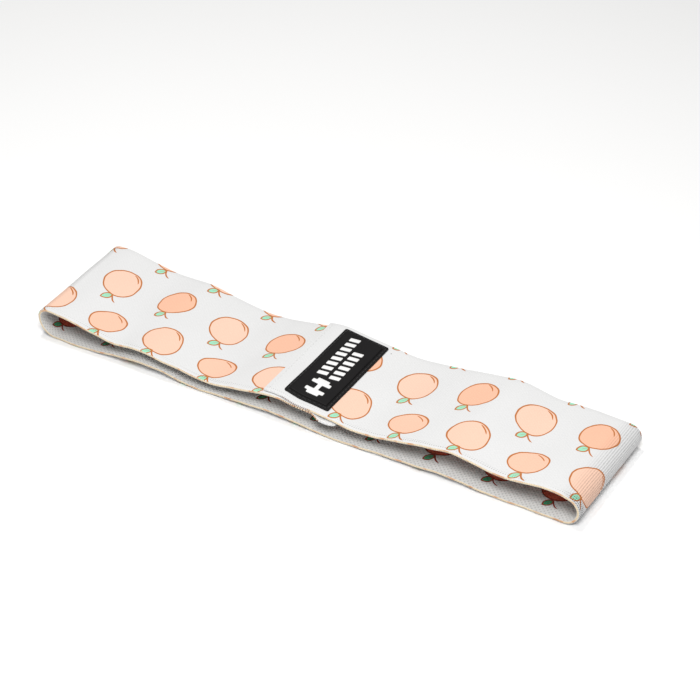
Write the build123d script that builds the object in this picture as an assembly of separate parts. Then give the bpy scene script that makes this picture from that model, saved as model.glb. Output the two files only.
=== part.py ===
"""Fabric resistance band: a loop of woven elastic webbing, laid flat, with a lapped and labelled seam.

Millimetres. X runs along the band, Y across the webbing and Z up. The origin is on the floor, under
the middle of the band. Each strip of webbing is two woven faces with rubber threads between them, and
each of its layers lies between two lines parallel to the strip's outer skin.
"""

import math
import os

from build123d import *

# Overall size
WIDTH = 80.0
REACH = 181.3  # from the middle of the band to the outside of each fold
WEB = 1.8  # thickness of the webbing

# Layers of the webbing: two faces, and a core of rubber threads with a cord at each edge
FACE = 0.55
PLY_GAP = 0.05
THREAD_WIDTH = 1.2
THREAD_COUNT = 36
THREAD_SPAN = 74.0  # between the centres of the outermost threads
EDGE_CORD = 1.8

# Lap seam: the right strip's end, the flap, lies on the left strip's end, the tail
LAP_START = -22.5
LAP_END = 21.0
LAP_GAP = 0.1
TAIL_END = 16.0
BODY_GAP = 0.3  # between webbing that moves apart

# Label: a thin sewing flange round a raised panel
LABEL_PLACE = (3.7, 2.1)
LABEL_TURN = -1.5  # degrees about Z
LABEL_SIZE = (30.5, 69.0)
LABEL_CORNER = 2.0
FLANGE_WIDTH = 2.8
FLANGE_RISE = 0.8
PANEL_RISE = 1.5
SEAT_GAP = 0.05  # between a piece and the skin that it lies on

# Plain mark on the label: a dumbbell and two rows of slanted stripes
MARK_RISE = 0.4
DUMBBELL_Y = -21.9
HANDLE = (2.4, 14.5)
PLATES = ((11.5, 2.6, 4.0), (7.0, 1.8, 6.4))  # width, thickness and distance from the middle
STRIPE = (5.8, 2.8)
STRIPE_SLANT = 1.8
STRIPE_PITCH = 5.3
STRIPE_ROWS = ((-4.3, -9.2, 8), (3.8, -9.2, 6))  # place across, first stripe, number

# Stitches
STITCH = 2.4
STITCH_PITCH = 3.2
SEWING_THREAD = 0.5
STITCH_RISE = 0.3
SEAM_ROW_X = LAP_START + 2.6
SEAM_ROW_SPAN = 73.6

# Outer skin: corners (x, z, radius) clockwise, up the left side and then down the right side
LEFT_CORNERS = (
    (-22.0, 2.6, 150.0),
    (-64.0, 0.0, 120.0),
    (-74.0, 0.0, 80.0),
    (-101.0, 3.6, 100.0),
    (-150.0, 0.0, 150.0),
    (-REACH, 0.0, 11.5),
    (-REACH, 19.3, 7.3),
    (-159.0, 19.3, 60.0),
    (-132.0, 13.3, 80.0),
    (-106.0, 13.9, 100.0),
    (-62.0, 7.5, 90.0),
)
FLAP_CREST = (-12.5, 17.1, 50.0)
RIGHT_CORNERS = (
    (46.4, 9.65, 90.0),
    (105.6, 20.3, 40.0),
    (130.2, 15.15, 30.0),
    (157.0, 16.3, 100.0),
    (REACH, 15.4, 7.5),
    (REACH, 0.0, 7.5),
    (135.0, 0.0, 150.0),
    (92.0, 3.9, 100.0),
    (33.0, 0.0, 80.0),
    (22.0, 0.0, 80.0),
)


def direction(start, end):
    """Unit direction from one (x, z) point to another."""
    length = math.dist(start[:2], end[:2])
    return (end[0] - start[0]) / length, (end[1] - start[1]) / length


def point_at(x, start, end):
    """The point at x on the straight line through two (x, z) points."""
    share = (x - start[0]) / (end[0] - start[0])
    return x, start[1] + share * (end[1] - start[1])


def parallel(route, depth):
    """The route's points and radii on a parallel line, inwards by depth.

    A route runs clockwise round the loop, so the inside of the loop is on its right.
    """
    moved = []
    last = len(route) - 1
    for i, (x, z, *radius) in enumerate(route):
        before = direction(route[max(i, 1) - 1], route[max(i, 1)])
        after = direction(route[min(i, last - 1)], route[min(i, last - 1) + 1])
        share = depth / (1 + before[0] * after[0] + before[1] * after[1])
        left_turn = before[0] * after[1] > before[1] * after[0]
        wider = depth if left_turn else -depth
        point = (x + share * (before[1] + after[1]), z - share * (before[0] + after[0]))
        moved.append((*point, *(r + wider for r in radius)))
    return moved


def line_of(route):
    """The route as straight runs joined by tangent arcs, in the XZ plane."""
    points = [(x, 0, z) for x, z, *_ in route]
    return FilletPolyline(*points, radius=[corner[2] for corner in route[1:-1]])


def layer(route, top, bottom, low_y=-WIDTH / 2, high_y=WIDTH / 2):
    """The solid between two depths below a route's skin, from low_y to high_y."""
    upper = line_of(parallel(route, top))
    lower = line_of(parallel(route, bottom))
    ends = [Line(upper @ 0, lower @ 0), Line(upper @ 1, lower @ 1)]
    face = make_face([*upper.edges(), *lower.edges(), *ends])
    return Pos(0, low_y, 0) * extrude(face, amount=high_y - low_y, dir=(0, 1, 0))


def pressed(route, top, bottom, outline):
    """The part of a layer that lies under or over an outline in plan, as separate solids."""
    column = extrude(outline, amount=2 * REACH)
    return (layer(route, top, bottom) & column).solids()


def save(solids, node):
    """Writes one node: one solid, or a group of separate solids."""
    solids = list(solids)
    shape = solids[0] if len(solids) == 1 else Compound(solids)
    export_step(shape, f"parts/{node}.step")
    print(node, len(solids))


def evenly(count, span):
    """Evenly spaced places, centred on zero."""
    return [span * (i / (count - 1) - 0.5) for i in range(count)]


def save_webbing(route, name):
    """Writes one strip of webbing: its two faces, its rubber threads and its edge cords."""
    core = (FACE + PLY_GAP, WEB - FACE - PLY_GAP)
    half = WIDTH / 2
    thread = layer(route, *core, -THREAD_WIDTH / 2, THREAD_WIDTH / 2).solid()
    save(layer(route, 0, FACE).solids(), f"{name}_outer_weave")
    save(layer(route, WEB - FACE, WEB).solids(), f"{name}_inner_weave")
    save([Pos(0, y, 0) * thread for y in evenly(THREAD_COUNT, THREAD_SPAN)], f"{name}_rubber_threads")
    save(layer(route, *core, -half, EDGE_CORD - half).solids(), f"{name}_front_edge_cord")
    save(layer(route, *core, half - EDGE_CORD, half).solids(), f"{name}_back_edge_cord")


def routes():
    """The outer skins of the left half, tail, flap and right half."""
    step = WEB + LAP_GAP
    valley, right_valley = LEFT_CORNERS[-1], RIGHT_CORNERS[0]
    rise = math.atan2(FLAP_CREST[1] - valley[1], FLAP_CREST[0] - valley[0])
    climb = math.tan(rise - math.asin(step / math.dist(valley[:2], FLAP_CREST[:2])))
    flap_start = (LAP_START, FLAP_CREST[1] + climb * (LAP_START - FLAP_CREST[0]))
    flap = [flap_start, FLAP_CREST, point_at(LAP_END, FLAP_CREST, right_valley)]
    _, tail_crest, below_flap = parallel(flap, step)
    tail = [point_at(LAP_START, valley, tail_crest), tail_crest, point_at(TAIL_END, tail_crest, below_flap)]
    seam = point_at(LAP_START - BODY_GAP, valley, tail_crest)
    left_middle = point_at(-BODY_GAP / 2, RIGHT_CORNERS[-1], LEFT_CORNERS[0])
    right_middle = point_at(BODY_GAP / 2, RIGHT_CORNERS[-1], LEFT_CORNERS[0])
    right_start = point_at(LAP_END + BODY_GAP, FLAP_CREST, right_valley)
    left = [left_middle, *LEFT_CORNERS, seam]
    right = [right_start, *RIGHT_CORNERS, right_middle]
    return left, tail, flap, right


def on_label(outline):
    """An outline drawn about the label's own middle, moved to the label's place."""
    return Pos(*LABEL_PLACE, 0) * Rot(0, 0, LABEL_TURN) * outline


def label_outline(inset):
    """The label's rounded rectangle, drawn in from its edge."""
    size = [side - 2 * inset for side in LABEL_SIZE]
    return on_label(RectangleRounded(*size, LABEL_CORNER - inset / 2))


def label_base(flap):
    """The moulded patch: the flange all over, and the raised panel within it."""
    flange = layer(flap, -SEAT_GAP - FLANGE_RISE, -SEAT_GAP) & extrude(label_outline(0), amount=REACH)
    panel = layer(flap, -SEAT_GAP - PANEL_RISE, -SEAT_GAP)
    return flange + (panel & extrude(label_outline(FLANGE_WIDTH), amount=REACH))


def dumbbell():
    """Outline of the plain dumbbell, its handle lying along the label."""
    shape = Rectangle(*HANDLE)
    for width, thickness, distance in PLATES:
        for side in (-1, 1):
            shape += Pos(0, side * distance) * Rectangle(width, thickness)
    return on_label(Pos(0, DUMBBELL_Y) * shape)


def stripes():
    """Outlines of the slanted stripes in their two rows."""
    width, thickness = STRIPE[0] / 2, STRIPE[1] / 2
    corners = [(-width, -thickness), (width, STRIPE_SLANT - thickness)]
    corners += [(-x, -y) for x, y in corners]
    stripe = make_face(Polyline(*corners, close=True))
    places = [(x, y + i * STRIPE_PITCH) for x, y, count in STRIPE_ROWS for i in range(count)]
    return on_label(Sketch() + [Pos(*place) * stripe for place in places])


def seam_stitches():
    """Outlines of the stitch row across the lap, just inside the flap's end."""
    count = round(SEAM_ROW_SPAN / STITCH_PITCH) + 1
    stitch = Rectangle(SEWING_THREAD, STITCH)
    return [Pos(SEAM_ROW_X, y) * stitch for y in evenly(count, SEAM_ROW_SPAN)]


def label_stitches():
    """Outlines of the stitches round the label's flange."""
    across, along = (side / 2 - FLANGE_WIDTH / 2 for side in LABEL_SIZE)
    found = []
    for y in evenly(round(2 * along / STITCH_PITCH), 2 * along - STITCH_PITCH):
        found += [on_label(Pos(side * across, y) * Rectangle(SEWING_THREAD, STITCH)) for side in (-1, 1)]
    for x in evenly(round(2 * across / STITCH_PITCH), 2 * across - STITCH_PITCH):
        found += [on_label(Pos(x, side * along) * Rectangle(STITCH, SEWING_THREAD)) for side in (-1, 1)]
    return found


def save_thread(places, node):
    """Writes a sewing thread from stitch outlines, each with the route and depth that it lies at."""
    solids = []
    for route, depth, outlines in places:
        if outlines:
            solids += pressed(route, depth, depth + STITCH_RISE, Sketch() + outlines)
    save(solids, node)


def main():
    os.makedirs("parts", exist_ok=True)
    left, tail, flap, right = routes()
    for route, name in ((left, "left"), (tail, "tail"), (flap, "flap"), (right, "right")):
        save_webbing(route, name)

    above, below = -SEAT_GAP - STITCH_RISE, WEB + SEAT_GAP
    save_thread([(flap, above, seam_stitches())], "seam_needle_thread")
    save_thread([(tail, below, seam_stitches())], "seam_bobbin_thread")
    round_label = label_stitches()
    through_tail = [spot for spot in round_label if spot.bounding_box().max.X < TAIL_END]
    through_flap = [spot for spot in round_label if spot.bounding_box().min.X > TAIL_END]
    save_thread([(flap, above - FLANGE_RISE, round_label)], "label_needle_thread")
    save_thread([(tail, below, through_tail), (flap, below, through_flap)], "label_bobbin_thread")

    save(label_base(flap).solids(), "label_base")
    mark_bottom = -2 * SEAT_GAP - PANEL_RISE
    save(pressed(flap, mark_bottom - MARK_RISE, mark_bottom, dumbbell()), "label_dumbbell_mark")
    save(pressed(flap, mark_bottom - MARK_RISE, mark_bottom, stripes()), "label_stripe_marks")


main()
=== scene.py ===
"""Looks of a fabric resistance band: printed elastic webbing, lapped and sewn under a moulded label.

Lengths are millimetres, as in the design, and MM turns them into metres where a mesh is made. X runs
along the band, Y across the webbing and Z up. Each strip of webbing is a table of rows across it and
columns along it, so a point of the webbing has a column, a place y across, and a depth below the skin.
"""

import math

import bpy
import numpy as np
from mathutils import Matrix, Vector


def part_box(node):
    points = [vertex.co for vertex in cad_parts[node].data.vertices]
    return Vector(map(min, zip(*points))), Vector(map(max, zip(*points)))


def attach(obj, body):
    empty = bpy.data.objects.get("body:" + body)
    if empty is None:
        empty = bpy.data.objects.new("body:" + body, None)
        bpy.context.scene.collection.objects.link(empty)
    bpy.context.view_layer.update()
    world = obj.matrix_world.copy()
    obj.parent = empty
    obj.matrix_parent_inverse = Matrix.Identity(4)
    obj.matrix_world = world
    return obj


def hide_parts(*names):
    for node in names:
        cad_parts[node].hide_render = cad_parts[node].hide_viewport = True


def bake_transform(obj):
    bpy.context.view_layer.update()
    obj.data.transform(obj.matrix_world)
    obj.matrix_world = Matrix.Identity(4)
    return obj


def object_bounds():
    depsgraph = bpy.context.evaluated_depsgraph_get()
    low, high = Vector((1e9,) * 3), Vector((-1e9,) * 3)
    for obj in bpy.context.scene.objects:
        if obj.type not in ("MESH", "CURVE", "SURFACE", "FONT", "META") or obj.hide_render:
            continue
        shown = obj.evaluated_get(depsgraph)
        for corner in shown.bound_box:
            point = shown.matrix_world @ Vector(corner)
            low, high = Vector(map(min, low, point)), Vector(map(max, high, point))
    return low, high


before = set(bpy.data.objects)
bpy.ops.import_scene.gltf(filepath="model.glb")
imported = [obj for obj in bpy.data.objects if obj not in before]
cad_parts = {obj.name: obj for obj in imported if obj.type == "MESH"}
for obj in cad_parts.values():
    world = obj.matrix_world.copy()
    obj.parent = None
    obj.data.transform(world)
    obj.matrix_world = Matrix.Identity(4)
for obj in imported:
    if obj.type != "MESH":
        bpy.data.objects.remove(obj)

CAD_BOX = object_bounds()
MM = 0.001


def box_mm(node):
    """A CAD node's lowest and highest corners, in millimetres."""
    return [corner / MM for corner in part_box(node)]


# Sizes that the frame gives
WIDTH = box_mm("left_outer_weave")[1].y - box_mm("left_outer_weave")[0].y
REACH = box_mm("right_outer_weave")[1].x
LAP_START = box_mm("flap_outer_weave")[0].x
LAP_END = box_mm("flap_outer_weave")[1].x
TAIL_END = box_mm("tail_outer_weave")[1].x
WEB = 1.8
LAP_GAP = 0.1
HALF = WIDTH / 2

# Outer skin: each corner line runs from (x, z, radius) at the near edge to (x, z, radius) at the far edge
LEFT_CORNERS = (
    ((-22.0, 2.6, 150.0), (-22.0, 2.2, 150.0)),
    ((-64.0, 0.0, 120.0), (-64.0, 0.0, 120.0)),
    ((-74.0, 0.0, 80.0), (-74.0, 0.0, 80.0)),
    ((-106.0, 5.6, 90.0), (-101.0, 3.2, 90.0)),
    ((-141.0, 0.0, 150.0), (-150.0, 0.0, 150.0)),
    ((-REACH, 0.0, 11.5), (-REACH, 0.0, 11.5)),
    ((-REACH, 20.6, 7.3), (-REACH, 19.3, 7.3)),
    ((-162.0, 19.6, 60.0), (-166.0, 19.4, 60.0)),
    ((-126.0, 12.8, 40.0), (-133.0, 13.3, 40.0)),
    ((-108.0, 15.7, 60.0), (-107.0, 13.6, 60.0)),
    ((-64.0, 9.0, 60.0), (-66.0, 6.4, 60.0)),
    ((-50.0, 11.0, 60.0), (-48.0, 7.8, 60.0)),
)
FLAP_CREST = ((-14.5, 19.1, 50.0), (-14.5, 16.9, 50.0))
RIGHT_CORNERS = (
    ((41.0, 11.5, 70.0), (42.0, 10.2, 70.0)),
    ((99.0, 22.0, 45.0), (104.5, 20.2, 45.0)),
    ((134.0, 16.8, 30.0), (130.0, 15.8, 30.0)),
    ((161.0, 21.5, 30.0), (155.0, 16.5, 30.0)),
    ((REACH - 2.6, 16.1, 9.0), (REACH, 15.2, 7.5)),
    ((REACH - 2.6, 0.0, 9.0), (REACH, 0.0, 7.5)),
    ((135.0, 0.0, 150.0), (135.0, 0.0, 150.0)),
    ((92.0, 2.6, 100.0), (92.0, 3.5, 100.0)),
    ((33.0, 0.0, 80.0), (33.0, 0.0, 80.0)),
    ((22.0, 0.0, 80.0), (22.0, 0.0, 80.0)),
)

# Webbing in section
FACE = 0.55
FACE_HALF = HALF - 0.65
CORD_NECK = (0.62, 1.18)
CORD_MIDDLE = HALF - 0.62
CORD_RADII = (0.62, 0.66)
THREADS = 36
THREAD_SPAN = 74.0
THREAD_SIZE = (1.2, 0.6)

# Weave
RIB = 1.4  # pitch of the weft ribs along the webbing
COLUMN = RIB / 4
FLAT_RIB = 0.035
FOLD_RIB = 1.0  # more relief per unit of bend, in square millimetres
ROW_COUNT = 41

# The band at rest isn't quite true
FLAP_INSET = 1.6  # the flap's near corner sits back from the tail's edge
TAIL_DROOP = 2.0  # the tail's near corner hangs inside the loop
TAIL_LEAN = 1.8  # and shows in front of the flap's edge
TAIL_SLANT = 10.0  # its end is cut at a slant, so the near corner reaches further
TAIL_CORNER = 5.0


def smooth(value, low, high):
    """0 below low, 1 above high and a smooth rise between."""
    share = np.clip((value - low) / (high - low), 0, 1)
    return share * share * (3 - 2 * share)


# ---------------------------------------------------------------- skins of the two strips


def direction(start, end):
    length = math.dist(start[:2], end[:2])
    return (end[0] - start[0]) / length, (end[1] - start[1]) / length


def between(start, end, share):
    """The point at a share of the way from start to end."""
    return tuple(s + share * (e - s) for s, e in zip(start, end))


def point_at(x, start, end):
    share = (x - start[0]) / (end[0] - start[0])
    return x, start[1] + share * (end[1] - start[1])


def parallel(route, depth):
    """The route's corners on a parallel line, inwards by depth."""
    moved = []
    last = len(route) - 1
    for i, (x, z, *radius) in enumerate(route):
        before = direction(route[max(i, 1) - 1], route[max(i, 1)])
        after = direction(route[min(i, last - 1)], route[min(i, last - 1) + 1])
        share = depth / (1 + before[0] * after[0] + before[1] * after[1])
        left_turn = before[0] * after[1] > before[1] * after[0]
        wider = depth if left_turn else -depth
        point = (x + share * (before[1] + after[1]), z - share * (before[0] + after[0]))
        moved.append((*point, *(r + wider for r in radius)))
    return moved


def across(corner, y):
    """A corner line's (x, z, radius) at y."""
    share = 0.5 + y / WIDTH
    return tuple(near + share * (far - near) for near, far in zip(*corner))


def routes(y):
    """Corners of the left strip's and the right strip's outer skins at y."""
    left = [across(corner, y) for corner in LEFT_CORNERS]
    right = [across(corner, y) for corner in RIGHT_CORNERS]
    crest = across(FLAP_CREST, y)
    step = WEB + LAP_GAP
    valley = left[-1]
    rise = math.atan2(crest[1] - valley[1], crest[0] - valley[0])
    climb = math.tan(rise - math.asin(step / math.dist(valley[:2], crest[:2])))
    flap_start = (LAP_START, crest[1] + climb * (LAP_START - crest[0]))
    flap = [flap_start, crest, point_at(LAP_END, crest, right[0])]
    _, tail_crest, below_flap = parallel(flap, step)
    middle = point_at(0, right[-1], left[0])
    tail_end = point_at(TAIL_END, tail_crest, below_flap)
    return [middle, *left, tail_crest, tail_end], [flap_start, crest, *right, middle]


def spans(route):
    """Straight runs and tangent arcs of a route: rows of length, start x, start z, heading, curvature."""
    found = []
    at = route[0][:2]
    for before, corner, after in zip(route, route[1:], route[2:]):
        arriving = direction(before, corner)
        leaving = direction(corner, after)
        heading = math.atan2(arriving[1], arriving[0])
        turn = math.atan2(
            arriving[0] * leaving[1] - arriving[1] * leaving[0],
            arriving[0] * leaving[0] + arriving[1] * leaving[1],
        )
        radius = corner[2]
        cut = radius * math.tan(abs(turn) / 2)
        start = (corner[0] - cut * arriving[0], corner[1] - cut * arriving[1])
        found.append((math.dist(at, start), *at, heading, 0.0))
        found.append((radius * abs(turn), *start, heading, math.copysign(1 / radius, turn)))
        at = (corner[0] + cut * leaving[0], corner[1] + cut * leaving[1])
    found.append((math.dist(at, route[-1][:2]), *at, heading + turn, 0.0))
    return np.array(found)


def sampled(route, shares):
    """x, z, heading and curvature at shares of a route's length."""
    table = spans(route)
    ends = np.cumsum(table[:, 0])
    along = shares * ends[-1]
    which = np.minimum(np.searchsorted(ends, along), len(ends) - 1)
    length, x, z, heading, bend = table[which].T
    run = along - (ends[which] - length)
    turned = heading + bend * run
    flat = np.abs(bend) < 1e-9
    safe = np.where(flat, 1.0, bend)
    x = x + np.where(flat, run * np.cos(heading), (np.sin(turned) - np.sin(heading)) / safe)
    z = z + np.where(flat, run * np.sin(heading), (np.cos(heading) - np.cos(turned)) / safe)
    return x, z, turned, bend


def ripple(x, y, z):
    """Gentle unevenness of the lying cloth: a lift of the skin, never into the floor."""
    top = 0.16 * np.sin(x / 8.3 + y / 19.0) + 0.12 * np.sin(x / 4.9 - y / 11.0 + 1.3)
    top += 0.10 * np.sin(y / 6.2 + x / 31.0)
    bottom = 0.24 + 0.12 * np.sin(x / 9.1 - y / 14.0 + 0.6)
    return top * smooth(z, 5, 9) + bottom * (1 - smooth(z, 2, 6))


class Strip:
    """One strip of webbing, as a table of its outer skin: rows across, columns along."""

    def __init__(self, side):
        self.rows = np.linspace(-HALF, HALF, ROW_COUNT)
        middle = spans(routes(0)[side])
        self.length = middle[:, 0].sum()
        self.columns = round(self.length / COLUMN) + 1
        shares = np.linspace(0, 1, self.columns)
        self.along = shares * self.length
        tables = [sampled(routes(y)[side], shares) for y in self.rows]
        self.x, self.z, self.heading, self.bend = (np.array(column) for column in zip(*tables))
        self.z = self.z + ripple(self.x, self.rows[:, None], self.z)
        self.inward_x = np.sin(self.heading)
        self.inward_z = -np.cos(self.heading)
        self.near_shift = np.zeros(self.columns)
        self.near_reach = np.zeros(self.columns)
        self.droop = np.zeros(self.columns)
        bend = np.abs(self.bend[ROW_COUNT // 2])
        spread = np.hanning(round(4 / COLUMN))
        self.fold = np.convolve(bend, spread / spread.sum(), mode="same")

    def row(self, table, y, columns):
        """A table's values at y, between its rows."""
        place = (y + HALF) / WIDTH * (ROW_COUNT - 1)
        low = min(max(int(place), 0), ROW_COUNT - 2)
        share = place - low
        return table[low, columns] * (1 - share) + table[low + 1, columns] * share

    def place(self, columns, y, depth):
        """Points at columns, y across and depth below the skin."""
        x = self.row(self.x, y, columns) + depth * self.row(self.inward_x, y, columns)
        z = self.row(self.z, y, columns) + depth * self.row(self.inward_z, y, columns)
        near = np.clip((-y - 8) / (HALF - 8), 0, 1)
        hang = smooth(-y, HALF - 11, HALF + 1)
        across_y = y + near * self.near_shift[columns]
        x = x + near * self.near_reach[columns]
        return np.stack([x, across_y, z - hang * self.droop[columns]], axis=-1)


def edge_waves(along, phase):
    """Small waves of a webbing edge across the strip."""
    return 0.16 * np.sin(along / 6.7 + phase) + 0.12 * np.sin(along / 2.9 + 2.1 * phase)


def left_strip():
    """From the middle of the bottom run, round the left fold, to the tail inside the lap."""
    strip = Strip(0)
    top_x = strip.x[0]
    on_tail = (strip.along > strip.length / 2) & (top_x > LAP_START)
    strip.near_shift = edge_waves(strip.along, 0.4) * smooth(strip.along, 0, 10)
    from_end = np.clip(top_x - (TAIL_END - TAIL_CORNER), 0, TAIL_CORNER)
    corner = TAIL_CORNER - np.sqrt(TAIL_CORNER**2 - from_end**2 + 1e-9)
    lean = smooth(top_x, 5, 10)
    strip.near_shift += np.where(on_tail, 0.7 * corner - TAIL_LEAN * lean, 0)
    strip.near_reach = np.where(on_tail, TAIL_SLANT * np.clip((top_x + 2) / (TAIL_END + 2), 0, 1), 0)
    strip.droop = np.where(on_tail, TAIL_DROOP * lean, 0)
    strip.print_x = strip.along - np.interp(LAP_START, top_x[on_tail], strip.along[on_tail]) + LAP_START
    strip.inner_x = -strip.along
    return strip


def right_strip():
    """From the flap on top of the lap, round the right fold, to the middle of the bottom run."""
    strip = Strip(1)
    strip.near_shift = edge_waves(strip.along, 1.7)
    strip.near_shift += FLAP_INSET * np.clip(1 - strip.along / -LAP_START, 0, 1)
    strip.near_shift -= 0.9 * smooth(strip.along, strip.length / 2, strip.length / 2 + 30)
    strip.near_shift *= 1 - smooth(strip.along, strip.length - 20, strip.length)
    strip.print_x = strip.along + LAP_START
    strip.inner_x = strip.length - strip.along
    return strip


# ---------------------------------------------------------------- meshes


def mesh_piece(name, points, faces, uv=None, sharp=50):
    """A smooth-shaded mesh object from points in millimetres. Uv is each point's place on the cloth."""
    mesh = bpy.data.meshes.new(name)
    mesh.from_pydata(np.asarray(points) * MM, [], faces)
    if uv is not None:
        layer = mesh.uv_layers.new(name="cloth")
        corners = np.zeros(len(mesh.loops), np.int32)
        mesh.loops.foreach_get("vertex_index", corners)
        layer.data.foreach_set("uv", np.asarray(uv, np.float32)[corners].ravel())
    mesh.shade_smooth()
    mesh.set_sharp_from_angle(angle=math.radians(sharp))
    mesh.validate()
    piece = bpy.data.objects.new(name, mesh)
    bpy.context.scene.collection.objects.link(piece)
    return piece


def tube_faces(rings, around, first=0):
    """Quads between rings of points, with a cap at each end."""
    faces = []
    for i in range(rings - 1):
        for k in range(around):
            a = first + i * around + k
            b = first + i * around + (k + 1) % around
            faces.append((a, b, b + around, a + around))
    last = first + (rings - 1) * around
    faces.append(tuple(first + k for k in reversed(range(around))))
    faces.append(tuple(last + k for k in range(around)))
    return faces


def loft(name, strip, sections, cloth_x, relief, every=1):
    """Closed sections carried along a strip. A section is a loop of (y, depth, lift) points.

    Cloth_x is each column's place on the cloth. Lift is how much of the relief, a height for each
    column, moves the point off the cloth.
    """
    columns = np.unique(np.append(np.arange(0, strip.columns, every), strip.columns - 1))
    points, faces, uv = [], [], []
    for section in sections:
        rings = [strip.place(columns, y, depth + lift * relief[columns]) for y, depth, lift in section]
        faces += tube_faces(len(columns), len(section), first=sum(map(len, points)))
        points.append(np.stack(rings, axis=1).reshape(-1, 3))
        places = [np.stack([cloth_x[columns], 0 * columns + y], axis=-1) for y, *_ in section]
        uv.append(np.stack(places, axis=1).reshape(-1, 2))
    return mesh_piece(name, np.concatenate(points), faces, np.concatenate(uv))


def face_section(outside, inside):
    """Section of one woven face: its rows on the outside, rounded edges, and a few rows behind."""
    rise = -1 if outside < inside else 1
    middle = (outside + inside) / 2
    radius = abs(inside - outside) / 2
    rows = np.linspace(-FACE_HALF, FACE_HALF, 25)
    section = [(y, outside, rise * (1 if abs(y) < FACE_HALF - 1 else 0.4)) for y in rows]
    turns = np.linspace(0, math.pi, 7)[1:-1]
    section += [
        (FACE_HALF + radius * math.sin(t), middle + rise * radius * math.cos(t), 0) for t in turns
    ]
    section += [(y, inside, 0) for y in np.linspace(FACE_HALF, -FACE_HALF, 7)]
    section += [
        (-FACE_HALF - radius * math.sin(t), middle - rise * radius * math.cos(t), 0) for t in turns
    ]
    return section if rise < 0 else section[::-1]


def cord_section(side):
    """Section of a selvedge: a neck between the two faces, and a rounded bulge at the webbing's edge."""
    middle = WEB / 2
    wide, tall = CORD_RADII
    turns = np.linspace(-math.pi * 0.72, math.pi * 0.72, 13)
    bulge = [(CORD_MIDDLE + wide * math.cos(t), middle + tall * math.sin(t), -math.sin(t)) for t in turns]
    neck = [(HALF - 1.7, CORD_NECK[1], 0), (HALF - 1.7, CORD_NECK[0], 0)]
    section = [(side * y, depth, lift) for y, depth, lift in bulge + neck]
    return section if side > 0 else section[::-1]


def thread_sections():
    """Sections of the rubber threads, flattened ovals side by side."""
    wide, tall = THREAD_SIZE[0] / 2, THREAD_SIZE[1] / 2
    turns = np.linspace(0, 2 * math.pi, 8, endpoint=False)
    oval = [(0.5 * wide * math.cos(t) * 1.7, WEB / 2 + tall * math.sin(t), 0) for t in turns]
    places = np.linspace(-THREAD_SPAN / 2, THREAD_SPAN / 2, THREADS)
    return [[(y + dy, depth, 0) for dy, depth, _ in oval] for y in places]


def webbing(strip, name, nodes):
    """The five pieces of one strip, each standing for the CAD nodes of the same layer."""
    ribs = 0.5 + 0.5 * np.cos(2 * math.pi * (strip.inner_x / RIB))
    relief = (FLAT_RIB + np.minimum(FOLD_RIB * strip.fold, 0.17)) * ribs
    loops = 0.06 * np.cos(2 * math.pi * strip.inner_x / RIB) + 0.03 * np.cos(strip.inner_x * 1.9)
    outside, inside = strip.print_x, strip.inner_x
    pieces = {
        "outer_weave": loft(f"{name}_outer_face", strip, [face_section(0, FACE)], outside, relief),
        "inner_weave": loft(f"{name}_inner_face", strip, [face_section(WEB, WEB - FACE)], inside, relief),
        "rubber_threads": loft(f"{name}_rubber_core", strip, thread_sections(), outside, relief, every=8),
        "front_edge_cord": loft(f"{name}_front_selvedge", strip, [cord_section(-1)], outside, loops),
        "back_edge_cord": loft(f"{name}_back_selvedge", strip, [cord_section(1)], outside, loops),
    }
    for layer, piece in pieces.items():
        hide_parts(*(f"{node}_{layer}" for node in nodes))
    return pieces


# ---------------------------------------------------------------- the label and the sewing


class Lap:
    """The lap's skin as a height field, for what lies on it or under it."""

    def __init__(self, strip, on_lap):
        self.strip = strip
        self.columns = np.flatnonzero(on_lap)

    def at(self, x, y, depth):
        """The point at x and y, at a depth below the skin."""
        strip = self.strip
        row = np.interp(x, strip.row(strip.x, y, self.columns), self.columns)
        low = min(int(row), strip.columns - 2)
        both = strip.place(np.array([low, low + 1]), y, depth)
        return both[0] + (row - low) * (both[1] - both[0])


LABEL_LOW, LABEL_HIGH = box_mm("label_base")
LABEL_MIDDLE = (LABEL_LOW + LABEL_HIGH) / 2 + Vector((0.5, -1.6, 0))  # sewn a little askew
LABEL_TURN = math.radians(-0.8)
LABEL_SIZE = (29.8, 71.6)
LABEL_CORNER = 1.3
FLANGE = 2.8
MARK_PLACE = 1.55  # the panel's rise, which the white marks stand on


def on_label(x, y):
    """A point drawn about the label's own middle, at its place on the band."""
    cos, sin = math.cos(LABEL_TURN), math.sin(LABEL_TURN)
    return LABEL_MIDDLE.x + x * cos - y * sin, LABEL_MIDDLE.y + x * sin + y * cos


def rounded_rectangle(size, radius, spacing=1.0):
    """Points round a rectangle with rounded corners; their number doesn't depend on the size."""
    half_x, half_y = size[0] / 2, size[1] / 2
    counts = (round(LABEL_SIZE[0] / spacing), round(LABEL_SIZE[1] / spacing))
    points = []
    corners = ((1, 1), (-1, 1), (-1, -1), (1, -1))
    for i, (side_x, side_y) in enumerate(corners):
        centre = (side_x * (half_x - radius), side_y * (half_y - radius))
        for k in range(7):
            angle = math.pi / 2 * (i + k / 6)
            points.append((centre[0] + radius * math.cos(angle), centre[1] + radius * math.sin(angle)))
        next_x, next_y = corners[(i + 1) % 4]
        end = (
            next_x * (half_x - radius) + radius * math.cos(math.pi / 2 * (i + 1)),
            next_y * (half_y - radius) + radius * math.sin(math.pi / 2 * (i + 1)),
        )
        start = points[-1]
        count = counts[i % 2]
        for k in range(1, count):
            points.append(between(start, end, k / count))
    return points


def stacked(lap, loops, levels):
    """Points and faces of a closed solid from loops of plan points, each at its rise off the skin."""
    around = len(loops[0])
    points = [lap.at(*on_label(x, y), -rise) for loop, rise in zip(loops, levels) for x, y in loop]
    return points, tube_faces(len(loops), around)


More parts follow.
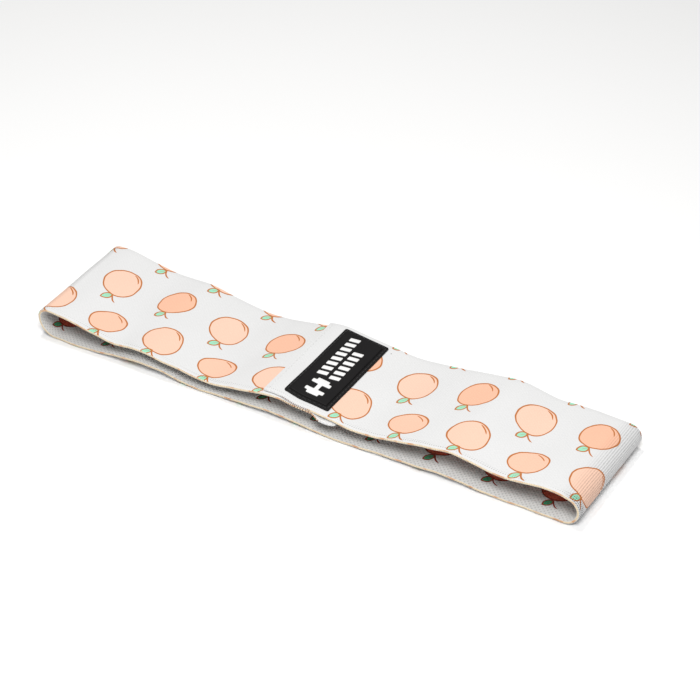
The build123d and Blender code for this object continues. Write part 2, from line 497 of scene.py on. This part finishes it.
def label_base(lap):
    """The moulded patch: a sewing flange, a groove at the foot of the panel, and the raised panel."""
    profile = [(13.5, 0.06), (9, 0.06), (5, 0.06), (2, 0.06), (0.2, 0.06), (0.05, 0.12), (0, 0.25)]
    profile += [(0, 0.62), (0.06, 0.76), (0.22, 0.84), (0.6, 0.86), (1.4, 0.84), (2.2, 0.84), (2.5, 0.8)]
    profile += [(2.62, 0.72), (2.74, 0.7), (2.84, 0.78), (2.9, 1.3), (2.97, 1.44), (3.12, 1.53)]
    profile += [(3.5, 1.55), (5, 1.55), (7, 1.55), (9, 1.55), (11, 1.55), (13.5, 1.55), (15.0, 1.55)]
    loops = []
    for inset, _ in profile:
        size = [side - 2 * inset for side in LABEL_SIZE]
        loops.append(rounded_rectangle(size, min(max(LABEL_CORNER - inset / 2, 0.4), size[0] / 2)))
    points, faces = stacked(lap, loops, [rise for _, rise in profile])
    return mesh_piece("label_patch", points, faces, sharp=60)


def inset_loop(loop, inset):
    """A counter-clockwise loop of points moved inwards by inset, with mitred corners."""
    moved = []
    for before, here, after in zip(loop[-1:] + loop[:-1], loop, loop[1:] + loop[:1]):
        first = direction(before, here)
        second = direction(here, after)
        share = inset / max(1 + first[0] * second[0] + first[1] * second[1], 0.3)
        moved.append((here[0] - share * (first[1] + second[1]), here[1] + share * (first[0] + second[0])))
    return moved


def softened(loop, radius, spacing=1.0):
    """A loop with its corners cut round, and its long sides divided."""
    points = []
    for before, here, after in zip(loop[-1:] + loop[:-1], loop, loop[1:] + loop[:1]):
        back = direction(here, before)
        ahead = direction(here, after)
        start = (here[0] + radius * back[0], here[1] + radius * back[1])
        end = (here[0] + radius * ahead[0], here[1] + radius * ahead[1])
        for share in (0, 0.25, 0.5, 0.75, 1):
            points.append(between(between(start, here, share), between(here, end, share), share))
        reach = math.dist(here, after) - 2 * radius
        for k in range(1, int(reach / spacing) + 1):
            step = radius + reach * k / (int(reach / spacing) + 1)
            points.append((here[0] + step * ahead[0], here[1] + step * ahead[1]))
    return points


def raised_marks(lap, name, outlines):
    """White shapes moulded on the label's panel, each with rounded upper edges."""
    profile = ((0, 0), (0, 0.3), (0.05, 0.38), (0.14, 0.42))
    levels = [(inset, MARK_PLACE + rise) for inset, rise in profile]
    points, faces = [], []
    for outline in outlines:
        loops = [inset_loop(outline, inset) for inset, _ in levels]
        more, made = stacked(lap, loops, [rise for _, rise in levels])
        faces += [tuple(len(points) + i for i in face) for face in made]
        points += more
    return mesh_piece(name, points, faces, sharp=40)


def dumbbell_outline():
    """A plain dumbbell seen from the side, lying along the label."""
    quarter = [(1.3, 2.6), (6.0, 2.6), (6.0, 5.4), (3.8, 5.4), (3.8, 7.6)]
    right = [(x, -y) for x, y in reversed(quarter)] + quarter
    left = [(-x, -y) for x, y in right]
    return [(x, y - 21.9) for x, y in right + left]


def stripe_outlines():
    """Two rows of slanted stripes, eight and six."""
    wide, thick, rise = 3.0, 1.5, 0.8
    stripe = [(-wide, -thick - rise), (wide, rise - thick), (wide, thick + rise), (-wide, thick - rise)]
    rows = ((-4.3, -9.2, 8), (3.8, -9.2, 6))
    places = [(x, y + 5.3 * i) for x, y, count in rows for i in range(count)]
    return [[(x + dx, y + dy) for dx, dy in stripe] for x, y in places]


def stitch_row(name, stitches, thickness=0.5):
    """Short threads, each bowed between the two places where it dives into the cloth."""
    points, faces = [], []
    for lap, start, end, depth, rise in stitches:
        across_x, across_y = direction(start, end)
        rings = []
        for share in np.linspace(0, 1, 9):
            bow = math.sin(math.pi * share)
            radius = thickness / 2 * (0.35 + 0.65 * bow**0.5)
            x = start[0] + share * (end[0] - start[0])
            y = start[1] + share * (end[1] - start[1])
            middle = depth - rise * (bow**0.7 - 0.35)
            for turn in np.linspace(0, 2 * math.pi, 8, endpoint=False):
                side = radius * math.cos(turn)
                lower = middle - 0.8 * radius * math.sin(turn) * math.copysign(1, rise)
                rings.append(lap.at(x - side * across_y, y + side * across_x, lower))
        faces += tube_faces(9, 8, first=len(points))
        points += rings
    return mesh_piece(name, points, faces, sharp=80)


def evenly(count, span):
    return [span * (i / (count - 1) - 0.5) for i in range(count)]


SEAM_ROW = LAP_START + 2.6
SEAM_SPAN = 73.6
STITCH_PITCH = 3.2
STITCH = 2.5


def seam_stitches(lap, depth, rise):
    """The row just inside the flap's end."""
    places = evenly(round(SEAM_SPAN / STITCH_PITCH) + 1, SEAM_SPAN)
    return [(lap, (SEAM_ROW, y - STITCH / 2), (SEAM_ROW, y + STITCH / 2), depth, rise) for y in places]


def label_stitches(lap, depth, rise, keep):
    """The stitches round the label's flange whose place in x passes keep."""
    wide, tall = (side / 2 - FLANGE / 2 for side in LABEL_SIZE)
    half = STITCH / 2
    found = []
    for y in evenly(round(2 * tall / STITCH_PITCH), 2 * tall - STITCH_PITCH):
        found += [((side * wide, y - half), (side * wide, y + half)) for side in (-1, 1)]
    for x in evenly(round(2 * wide / STITCH_PITCH), 2 * wide - STITCH_PITCH):
        found += [((x - half, side * tall), (x + half, side * tall)) for side in (-1, 1)]
    ends = [(on_label(*start), on_label(*end)) for start, end in found]
    return [(lap, start, end, depth, rise) for start, end in ends if keep(max(start[0], end[0]))]


# ---------------------------------------------------------------- materials


class Nodes:
    """Short calls that add shader nodes; each gives the new node's output socket."""

    def __init__(self, tree):
        self.tree = tree

    def add(self, kind, inputs, output=0, **settings):
        node = self.tree.nodes.new("ShaderNode" + kind)
        for key, value in settings.items():
            setattr(node, key, value)
        for key, value in inputs.items():
            if isinstance(value, bpy.types.NodeSocket):
                self.tree.links.new(value, node.inputs[key])
            else:
                node.inputs[key].default_value = value
        return node.outputs[output]

    def math(self, operation, *values):
        return self.add("Math", dict(enumerate(values)), operation=operation)

    def vector(self, operation, *values, output=0):
        return self.add("VectorMath", dict(enumerate(values)), output, operation=operation)

    def times(self, *values):
        total = values[0]
        for value in values[1:]:
            total = self.math("MULTIPLY", total, value)
        return total

    def scaled(self, vector, factor):
        return self.add("VectorMath", {"Vector": vector, "Scale": factor}, operation="SCALE")

    def length(self, vector):
        return self.vector("LENGTH", vector, output="Value")

    def step(self, value, low, high):
        """0 at low and 1 at high, smoothly; low may be above high."""
        return self.add("MapRange", {0: value, 1: low, 2: high}, interpolation_type="SMOOTHSTEP")

    def mix(self, share, first, second):
        return self.add("Mix", {0: share, 6: first, 7: second}, 2, data_type="RGBA")

    def noise(self, vector, scale, detail=2.0, output=0):
        return self.add("TexNoise", {"Vector": vector, "Scale": scale, "Detail": detail}, output)

    def sum(self, *values):
        total = values[0]
        for value in values[1:]:
            total = self.math("ADD", total, value)
        return total

    def most(self, *values):
        total = values[0]
        for value in values[1:]:
            total = self.math("MAXIMUM", total, value)
        return total

    def wave(self, value, pitch):
        """A cosine from -1 to 1 with the given pitch."""
        return self.math("COSINE", self.math("MULTIPLY", value, 2 * math.pi / pitch))


LINE = 0.46  # half the width of the print's drawn lines
SOFT = 0.14  # how far a printed edge fades


def drawn(nodes, distance, width=LINE):
    """A drawn line where a distance is nearly zero."""
    return nodes.step(nodes.math("ABSOLUTE", distance), width + SOFT, width - SOFT)


def arc(nodes, place, centre, radius, middle, reach, width):
    """A drawn arc: the part of a circle within reach of its middle, tapering to its ends."""
    off_circle = nodes.math("SUBTRACT", nodes.length(nodes.vector("SUBTRACT", place, centre)), radius)
    from_middle = nodes.math("DIVIDE", nodes.length(nodes.vector("SUBTRACT", place, middle)), reach)
    narrow = nodes.math("SUBTRACT", 1.0, nodes.math("POWER", from_middle, 4.0))
    room = nodes.math("SUBTRACT", nodes.times(narrow, width), nodes.math("ABSOLUTE", off_circle))
    return nodes.step(room, -SOFT * width, SOFT * width)


def fruit_group():
    """Node group: one printed fruit with its leaf and stem, drawn about the point where they meet."""
    group = bpy.data.node_groups.new("fruit", "ShaderNodeTree")
    for name in ("Place", "Middle", "Size"):
        group.interface.new_socket(name, in_out="INPUT", socket_type="NodeSocketVector")
    group.interface.new_socket("Tilt", in_out="INPUT", socket_type="NodeSocketFloat")
    for name in ("Fruit", "Line", "Leaf"):
        group.interface.new_socket(name, in_out="OUTPUT", socket_type="NodeSocketFloat")
    nodes = Nodes(group)
    given = group.nodes.new("NodeGroupInput").outputs
    place, size = given["Place"], given["Size"]

    turned = nodes.add(
        "VectorRotate",
        {"Vector": nodes.vector("SUBTRACT", place, given["Middle"]), "Angle": given["Tilt"]},
        rotation_type="Z_AXIS",
        invert=True,
    )
    upright = nodes.vector("DIVIDE", nodes.vector("SUBTRACT", place, given["Middle"]), size)
    crease = arc(nodes, upright, (-0.12, 0.08, 0), 0.86, (0.45, 0.73, 0), 0.38, 0.036)
    share = nodes.vector("DIVIDE", turned, size)
    height = nodes.add("SeparateXYZ", {0: share}, "Y")
    top_heavy = nodes.sum(1.0, nodes.times(height, 0.10))
    wider = nodes.add("CombineXYZ", {0: top_heavy, 1: 1.0, 2: 1.0})
    share = nodes.vector("DIVIDE", share, wider)
    reach = nodes.length(share)
    slope = nodes.math("MAXIMUM", nodes.length(nodes.vector("DIVIDE", share, size)), 0.001)
    distance = nodes.math("DIVIDE", nodes.times(reach, nodes.math("SUBTRACT", reach, 1.0)), slope)
    fruit = nodes.step(distance, SOFT, -SOFT)

    leaf_turn = {"Vector": place, "Angle": math.radians(-132)}
    leaf_place = nodes.add("VectorRotate", leaf_turn, rotation_type="Z_AXIS", invert=True)
    sides = [nodes.length(nodes.vector("SUBTRACT", leaf_place, (3.7, side * 2.1, 0))) for side in (-1, 1)]
    leaf_distance = nodes.math("SUBTRACT", nodes.most(*sides), 4.2)
    leaf = nodes.step(leaf_distance, SOFT, -SOFT)
    vein = arc(nodes, leaf_place, (3.5, 30.0, 0), 30.0, (2.6, 0.0, 0), 2.2, 0.2)
    stem = arc(nodes, place, (6.7, 1.2, 0), 6.5, (1.75, -3.1, 0), 4.1, 0.5)

    outlines = nodes.most(drawn(nodes, distance), drawn(nodes, leaf_distance, 0.44))
    lines = nodes.most(outlines, crease, nodes.times(vein, 0.5), stem)
    result = group.nodes.new("NodeGroupOutput").inputs
    for name, value in (("Fruit", fruit), ("Line", lines), ("Leaf", leaf)):
        group.links.new(value, result[name])
    return group


# The print: a tile with four fruits, each given where its leaf meets it, then its middle from there
TILE = (77.6, 73.0)
FRUITS = (
    # junction, middle, half size, tilt in degrees, depth of tone
    ((-102.5, -35.0), (0.0, 11.4), (11.9, 12.6), 40, 0.1),
    ((-140.7, -35.6), (-0.4, 10.2), (11.5, 9.3), 17, 0.55),
    ((-153.3, -3.2), (-1.4, 12.5), (11.6, 12.9), 24, 0.0),
    ((-117.2, 1.0), (0.5, 11.8), (10.2, 12.0), -32, 1.0),
)


def painted(name, build):
    """A material whose Principled shader is filled in by build(nodes, shader)."""
    material = bpy.data.materials.new(name)
    material.use_nodes = True
    tree = material.node_tree
    tree.nodes.clear()
    shader = tree.nodes.new("ShaderNodeBsdfPrincipled")
    out = tree.nodes.new("ShaderNodeOutputMaterial")
    tree.links.new(shader.outputs[0], out.inputs["Surface"])
    build(Nodes(tree), shader)
    return material


def feed(nodes, shader, **values):
    """Links sockets or sets plain values on a shader; a name's underscores stand for spaces."""
    for key, value in values.items():
        socket = shader.inputs[key.replace("_", " ")]
        if isinstance(value, bpy.types.NodeSocket):
            nodes.tree.links.new(value, socket)
        else:
            socket.default_value = value


def cloth_place(nodes):
    """The place on the cloth, in millimetres along and across, with its two parts."""
    place = nodes.add("UVMap", {}, uv_map="cloth")
    parts = nodes.add("SeparateXYZ", {0: place})
    return place, parts, parts.node.outputs["Y"]


def darkened(nodes, colour, shade):
    """A colour times a shade."""
    return nodes.vector("MULTIPLY", colour, nodes.add("CombineXYZ", {0: shade, 1: shade, 2: shade}))


def printed(nodes, colour, place, shift, stretch, group, palette, strength):
    """Mixes the fruit print into a colour. Shift and stretch take a place on the cloth to the print's."""
    print_place = nodes.vector("SUBTRACT", place, (*shift, 0))
    print_place = nodes.vector("MULTIPLY", print_place, (*stretch, 1))
    wobble = nodes.vector("SUBTRACT", nodes.noise(print_place, 0.13, 1.0, "Color"), (0.5, 0.5, 0.5))
    place = nodes.vector("ADD", print_place, nodes.scaled(wobble, 1.3))
    flat = nodes.vector("MULTIPLY", place, (1, 1, 0))
    lines = []
    half_x, half_y = TILE[0] / 2, TILE[1] / 2
    for junction, middle, size, tilt, depth in FRUITS:
        local = nodes.vector("SUBTRACT", flat, (*junction, 0))
        local = nodes.vector("WRAP", local, (half_x, half_y, 1), (-half_x, -half_y, -1))
        node = nodes.tree.nodes.new("ShaderNodeGroup")
        node.node_tree = group
        nodes.tree.links.new(local, node.inputs["Place"])
        node.inputs["Middle"].default_value = (*middle, 0)
        node.inputs["Size"].default_value = (*size, 1)
        node.inputs["Tilt"].default_value = math.radians(tilt)
        fill = between(palette["pale"], palette["deep"], depth)
        colour = nodes.mix(nodes.times(node.outputs["Fruit"], strength), colour, (*fill, 1))
        colour = nodes.mix(nodes.times(node.outputs["Leaf"], strength), colour, (*palette["leaf"], 1))
        lines.append(node.outputs["Line"])
    return nodes.mix(nodes.times(nodes.most(*lines), strength), colour, (*palette["line"], 1))


OUTER_PALETTE = {
    "pale": (0.88, 0.59, 0.455),
    "deep": (0.88, 0.50, 0.345),
    "line": (0.50, 0.165, 0.04),
    "leaf": (0.32, 0.73, 0.52),
}
# The inner face's print in deeper, stronger colours: partly its own print, partly painted shade for the
# inside of the loop.
INNER_PRINT_AND_SHADE = {
    "pale": (0.62, 0.11, 0.06),
    "deep": (0.58, 0.10, 0.05),
    "line": (0.24, 0.03, 0.012),
    "leaf": (0.04, 0.27, 0.13),
}
WHITE = (0.72, 0.72, 0.72)
INNER_WHITE = (0.66, 0.655, 0.64)


def outer_face_material(name, group, shift, stretch, low, high, fold, reach):
    """White woven face with the print from low to high along the cloth, and open ribs about its fold with
    painted shade in their grooves.
    """

    def build(nodes, shader):
        place, along, over = cloth_place(nodes)
        start = nodes.step(along, low - 0.9, low + 0.9)
        end = nodes.step(along, high + 0.9, high - 0.9)
        white = (*WHITE, 1)
        part = nodes.times(start, end)
        colour = printed(nodes, white, place, shift, stretch, group, OUTER_PALETTE, part)
        mottle = nodes.noise(place, 0.7, 3.0)
        rib = nodes.wave(along, RIB)
        grid = nodes.times(nodes.wave(along, 2 * RIB), nodes.wave(over, 1.7))
        twill = nodes.wave(nodes.sum(along, over), 2.3)
        shade = nodes.sum(0.94, nodes.times(mottle, 0.08))
        # Painted shade and light: the grid faintly darkens the weave's valleys and lightens its crests,
        # alongside the same grid in the bump.
        shade = nodes.sum(shade, nodes.times(grid, 0.018), nodes.times(twill, 0.008))
        from_fold = nodes.math("ABSOLUTE", nodes.math("SUBTRACT", along, fold))
        near_fold = nodes.step(from_fold, reach, reach / 2)
        gaps = edge_holes(nodes, along, over, near_fold)
        gaps = nodes.times(gaps, nodes.sum(0.6, nodes.times(near_fold, 0.6)), 0.75)
        shade = nodes.times(shade, nodes.math("SUBTRACT", 1.0, gaps))
        # Painted shade: the grooves between the ribs about the fold are darkened, broken up by noise along
        # the ribs.
        shade_dashes = nodes.noise(nodes.vector("MULTIPLY", place, (0.4, 1.2, 1)), 1.0, 2.0)
        groove = nodes.times(nodes.math("SUBTRACT", 1.0, rib), shade_dashes)
        shade = nodes.math("SUBTRACT", shade, nodes.times(groove, near_fold, 0.26))
        colour = darkened(nodes, colour, shade)
        fine = nodes.noise(place, 3.1, 2.0)
        height = nodes.sum(nodes.times(rib, 0.3), nodes.times(grid, 0.35), nodes.times(fine, 0.6))
        bump = nodes.add("Bump", {"Height": height, "Strength": 0.35, "Distance": 0.00012})
        rough = nodes.sum(0.78, nodes.times(mottle, 0.16))
        feed(nodes, shader, Base_Color=colour, Roughness=rough, Normal=bump)
        feed(nodes, shader, Sheen_Weight=0.12, Sheen_Roughness=0.5, Specular_IOR_Level=0.25)

    return painted(name, build)


def edge_holes(nodes, along, over, near_fold):
    """Rows of small gaps in the weave just inside the near edge, clearest about the fold."""
    reach = nodes.sum(1.2, nodes.times(near_fold, 1.4))
    off_row = nodes.math("ABSOLUTE", nodes.math("ADD", over, HALF - 2.9))
    row = nodes.step(nodes.math("SUBTRACT", off_row, reach), 0.2, -0.2)
    row = nodes.times(row, nodes.step(nodes.wave(over, 1.5), -0.1, 0.5))
    dots = nodes.step(nodes.wave(along, RIB), -0.1, 0.5)
    patch = nodes.add("CombineXYZ", {0: nodes.times(along, 0.03), 1: over})
    clear = nodes.most(nodes.step(nodes.noise(patch, 1.0, 1.0), 0.42, 0.62), near_fold)
    return nodes.times(row, dots, clear)


def inner_face_material(name, group, shift, stretch):
    """Inner face: an open dotted weave, with the same print in stronger colours; the deeper colours and
    the dots' darkening are partly painted shade.
    """

    def build(nodes, shader):
        place, along, over = cloth_place(nodes)
        inside = nodes.step(over, 3.5 - HALF, 5.5 - HALF)
        white = (*INNER_WHITE, 1)
        colour = printed(nodes, white, place, shift, stretch, group, INNER_PRINT_AND_SHADE, inside)
        grid = nodes.times(nodes.wave(along, 2 * RIB), nodes.wave(over, 2.6))
        dots = nodes.step(grid, 0.25, 0.8)
        mottle = nodes.noise(place, 0.5, 3.0)
        # Painted shade: the dots are the weave's pits, darkened in colour as well as dented by the bump.
        shade = nodes.sum(0.95, nodes.times(mottle, 0.08), nodes.times(dots, -0.28))
        colour = darkened(nodes, colour, shade)
        height = nodes.sum(nodes.times(grid, -0.8), nodes.times(nodes.noise(place, 2.5, 2.0), 0.5))
        bump = nodes.add("Bump", {"Height": height, "Strength": 0.5, "Distance": 0.0002})
        rough = nodes.sum(0.8, nodes.times(mottle, 0.15))
        feed(nodes, shader, Base_Color=colour, Roughness=rough, Normal=bump)
        feed(nodes, shader, Sheen_Weight=0.1, Sheen_Roughness=0.5, Specular_IOR_Level=0.25)

    return painted(name, build)


def selvedge_material(name, low, high):
    """Edge yarn: cream from low to high, with orange-tan stretches; white elsewhere; painted shade in
    short dark marks at the very edge on the lap.
    """

    def build(nodes, shader):
        place, along, over = cloth_place(nodes)
        start = nodes.step(along, low - 1.5, low + 1.5)
        end = nodes.step(along, high + 1.5, high - 1.5)
        undyed = nodes.times(start, end)
        stretched = nodes.vector("MULTIPLY", place, (0.11, 0.5, 1))
        tinge = nodes.step(nodes.noise(stretched, 1.0, 2.0), 0.5, 0.62)
        streak = nodes.noise(nodes.vector("MULTIPLY", place, (0.9, 3.0, 1)), 1.0, 3.0)
        colour = nodes.mix(undyed, (*WHITE, 1), (0.78, 0.65, 0.46, 1))
        colour = nodes.mix(nodes.times(tinge, undyed, 0.75), colour, (0.62, 0.28, 0.12, 1))
        # Painted shade: dark brown marks on the outermost yarn on the lap, for the shade in the gap where
        # the flap's edge lies over the tail's.
        edge = nodes.step(nodes.math("ABSOLUTE", over), HALF - 0.4, HALF - 0.1)
        on_lap = nodes.step(nodes.math("ABSOLUTE", along), 11.0, 9.0)
        shade_dashes = nodes.times(nodes.step(nodes.wave(along, 1.15), -0.2, 0.3), edge, on_lap)
        colour = nodes.mix(nodes.times(shade_dashes, 0.85), colour, (0.20, 0.07, 0.03, 1))
        loops = nodes.wave(nodes.sum(along, nodes.times(over, 0.7)), RIB)
        shade = nodes.sum(0.86, nodes.times(streak, 0.2), nodes.times(loops, 0.05))
        colour = darkened(nodes, colour, shade)
        height = nodes.sum(nodes.times(loops, 0.5), nodes.times(streak, 0.6))
        bump = nodes.add("Bump", {"Height": height, "Strength": 0.6, "Distance": 0.0002})
        feed(nodes, shader, Base_Color=colour, Roughness=nodes.sum(0.74, nodes.times(streak, 0.2)))
        feed(nodes, shader, Normal=bump, Sheen_Weight=0.1, Specular_IOR_Level=0.3)

    return painted(name, build)


def solid_place(nodes):
    """The place in the object's own frame, in millimetres."""
    return nodes.scaled(nodes.add("TexCoord", {}, "Object"), 1 / MM)


def rubber_thread_material():
    """Natural latex, dusty and slightly uneven."""

    def build(nodes, shader):
        place, *_ = cloth_place(nodes)
        cloud = nodes.noise(nodes.vector("MULTIPLY", place, (0.2, 1.0, 1)), 1.0, 3.0)
        colour = nodes.mix(cloud, (0.62, 0.50, 0.33, 1), (0.80, 0.72, 0.56, 1))
        bump = nodes.add("Bump", {"Height": cloud, "Strength": 0.3, "Distance": 0.0001})
        feed(nodes, shader, Base_Color=colour, Roughness=nodes.sum(0.5, nodes.times(cloud, 0.25)))
        feed(nodes, shader, Normal=bump)

    return painted("latex thread", build)


BLACK_RUBBER = ((0.004, 0.0036, 0.004), (0.010, 0.0092, 0.0096))
WHITE_RUBBER = ((0.78, 0.78, 0.77), (0.88, 0.88, 0.87))


def moulded_material(name, dark, light, rough, gloss, grain_depth):
    """Soft moulded rubber with a fine grain and slight clouding."""

    def build(nodes, shader):
        place = solid_place(nodes)
        grain = nodes.noise(place, 2.4, 3.0)
        cloud = nodes.noise(place, 0.12, 2.0)
        colour = nodes.mix(nodes.times(nodes.sum(grain, cloud), 0.5), (*dark, 1), (*light, 1))
        bump = nodes.add("Bump", {"Height": grain, "Strength": 0.35, "Distance": grain_depth})
        rougher = nodes.sum(rough - 0.08, nodes.times(cloud, 0.16))
        feed(nodes, shader, Base_Color=colour, Roughness=rougher, Normal=bump, Specular_IOR_Level=gloss)

    return painted(name, build)


def thread_material(name, dark, light):
    """Twisted sewing thread."""

    def build(nodes, shader):
        place = solid_place(nodes)
        parts = nodes.add("SeparateXYZ", {0: place})
        outs = parts.node.outputs
        along = nodes.sum(outs["X"], outs["Y"], nodes.times(outs["Z"], 1.5))
        twist = nodes.wave(along, 0.55)
        fuzz = nodes.noise(place, 4.0, 2.0)
        share = nodes.sum(0.3, nodes.times(twist, 0.25), nodes.times(fuzz, 0.4))
        bump = nodes.add("Bump", {"Height": twist, "Strength": 0.5, "Distance": 0.0001})
        colour = nodes.mix(share, (*dark, 1), (*light, 1))
        feed(nodes, shader, Base_Color=colour, Roughness=nodes.sum(0.55, nodes.times(fuzz, 0.2)))
        feed(nodes, shader, Normal=bump, Sheen_Weight=0.2)

    return painted(name, build)


# ---------------------------------------------------------------- studio


CAMERA_AZIMUTH = 29.48
CAMERA_ELEVATION = 37.17
CAMERA_PLACE = (0.5118, -0.8820, 0.8020)
LENS = 113.1
SENSOR = 36.0
WORLD_LIGHT = 0.22
KEY_POWER = 7.8
FRONT_POWER = 14.6


def camera():
    """A long lens from the near right, above."""
    turn, rise = math.radians(CAMERA_AZIMUTH), math.radians(CAMERA_ELEVATION)
    back = Vector((math.sin(turn) * math.cos(rise), -math.cos(turn) * math.cos(rise), math.sin(rise)))
    right = Vector((math.cos(turn), math.sin(turn), 0))
    up = back.cross(right)
    lens = bpy.data.cameras.new("camera")
    lens.sensor_width = SENSOR
    lens.lens = LENS
    lens.clip_start = 0.05
    eye = bpy.data.objects.new("camera", lens)
    eye.matrix_world = Matrix.Translation(CAMERA_PLACE) @ Matrix((right, up, back)).transposed().to_4x4()
    bpy.context.scene.collection.objects.link(eye)
    bpy.context.scene.camera = eye


def area_light(name, place, size, power, colour):
    """A square soft light aimed at the middle of the band."""
    lamp = bpy.data.lights.new(name, "AREA")
    lamp.size = size
    lamp.energy = power
    lamp.color = colour
    light = bpy.data.objects.new(name, lamp)
    light.location = place
    light.rotation_mode = "QUATERNION"
    light.rotation_quaternion = Vector(place).to_track_quat("Z", "Y")
    bpy.context.scene.collection.objects.link(light)


def floor():
    """A wide white table top."""
    reach = 3.0
    mesh = bpy.data.meshes.new("floor")
    corners = [(-reach, -reach, 0), (reach, -reach, 0), (reach, reach, 0), (-reach, reach, 0)]
    mesh.from_pydata(corners, [], [(0, 1, 2, 3)])
    table = bpy.data.objects.new("floor", mesh)
    table.location.z = CAD_BOX[0].z - 0.0001
    bpy.context.scene.collection.objects.link(table)

    def build(nodes, shader):
        cloud = nodes.noise(nodes.add("TexCoord", {}, "Object"), 3.0, 2.0)
        colour = nodes.mix(cloud, (0.93, 0.93, 0.93, 1), (0.95, 0.95, 0.95, 1))
        feed(nodes, shader, Base_Color=colour, Roughness=0.9, Specular_IOR_Level=0.1)

    mesh.materials.append(painted("table top", build))


def studio():
    scene = bpy.context.scene
    scene.view_settings.view_transform = "Standard"
    world = bpy.data.worlds.new("studio")
    world.use_nodes = True
    world.node_tree.nodes["Background"].inputs["Color"].default_value = (1.0, 1.0, 1.0, 1)
    world.node_tree.nodes["Background"].inputs["Strength"].default_value = WORLD_LIGHT
    scene.world = world
    area_light("key", (-0.3, 0.2, 1.4), 0.3, KEY_POWER, (1.0, 0.99, 0.97))
    area_light("front", (0.34, -0.58, 1.18), 0.6, FRONT_POWER, (1.0, 1.0, 1.0))
    floor()
    camera()


# ---------------------------------------------------------------- assembly


def finish_webbing(pieces, looks):
    """Gives a strip's pieces their materials, and bakes each one's placement into its mesh."""
    for layer, piece in pieces.items():
        piece.data.materials.append(looks[layer])
        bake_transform(piece)


def lap_piece(piece, material, node):
    """A piece of the sewn lap, standing for its CAD node."""
    piece.data.materials.append(material)
    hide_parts(node)
    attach(piece, "lap_seam")


def main():
    studio()
    left, right = left_strip(), right_strip()
    group = fruit_group()
    latex = rubber_thread_material()
    far = 1000.0
    left_fold = float(left.print_x[np.argmin(left.x[ROW_COUNT // 2])])
    right_fold = float(right.print_x[np.argmax(right.x[ROW_COUNT // 2])])
    left_edge = selvedge_material("left selvedge yarn", -far, 9.0)
    right_edge = selvedge_material("right selvedge yarn", 8.0, far)
    left_looks = {
        "outer_weave": outer_face_material(
            "left print", group, (0.35, -0.6), (1, 1), -far, LAP_START - 1, left_fold, 13
        ),
        "inner_weave": inner_face_material("left lining", group, (-1.9, 7.4), (1.046, 1)),
        "rubber_threads": latex,
        "front_edge_cord": left_edge,
        "back_edge_cord": left_edge,
    }
    right_looks = {
        "outer_weave": outer_face_material(
            "right print", group, (127.3, 3.9), (1.012, 0.955), 18.0, far, right_fold, 19
        ),
        "inner_weave": inner_face_material("right lining", group, (-3.4, 7.9), (1.045, 1)),
        "rubber_threads": latex,
        "front_edge_cord": right_edge,
        "back_edge_cord": right_edge,
    }
    finish_webbing(webbing(left, "left", ("left", "tail")), left_looks)
    finish_webbing(webbing(right, "right", ("right", "flap")), right_looks)

    top_half = left.along > left.length / 2
    tail = Lap(left, top_half & (left.x[0] > LAP_START - 8))
    flap = Lap(right, (right.along < right.length / 2) & (right.x[0] < LAP_END + 8))
    black = moulded_material("label rubber", *BLACK_RUBBER, 0.62, 0.2, 0.00006)
    white = moulded_material("mark rubber", *WHITE_RUBBER, 0.45, 0.3, 0.00003)
    pale_thread = thread_material("seam thread", (0.62, 0.62, 0.61), (0.78, 0.78, 0.77))
    dark_thread = thread_material("label thread", (0.006, 0.006, 0.006), (0.022, 0.022, 0.022))

    lap_piece(label_base(flap), black, "label_base")
    dumbbell = [softened(dumbbell_outline(), 0.7)]
    lap_piece(raised_marks(flap, "label_dumbbell", dumbbell), white, "label_dumbbell_mark")
    stripes = [softened(outline, 0.5) for outline in stripe_outlines()]
    lap_piece(raised_marks(flap, "label_stripes", stripes), white, "label_stripe_marks")

    above = seam_stitches(flap, 0.06, 0.16)
    lap_piece(stitch_row("seam_upper_thread", above), pale_thread, "seam_needle_thread")
    below = seam_stitches(tail, WEB + 0.05, -0.3)
    lap_piece(stitch_row("seam_lower_thread", below), pale_thread, "seam_bobbin_thread")
    above = label_stitches(flap, -0.86, 0.22, lambda x: True)
    above.append((flap, (22.2, 33.0), (22.8, 33.3), 0.0, 0.25))  # a clipped end of the thread
    upper = stitch_row("label_upper_thread", above, 0.4)
    lap_piece(upper, dark_thread, "label_needle_thread")
    below = label_stitches(tail, WEB + 0.05, -0.3, lambda x: x < TAIL_END)
    below += label_stitches(flap, WEB + 0.05, -0.3, lambda x: x > TAIL_END)
    lower = stitch_row("label_lower_thread", below, 0.4)
    lap_piece(lower, dark_thread, "label_bobbin_thread")


main()
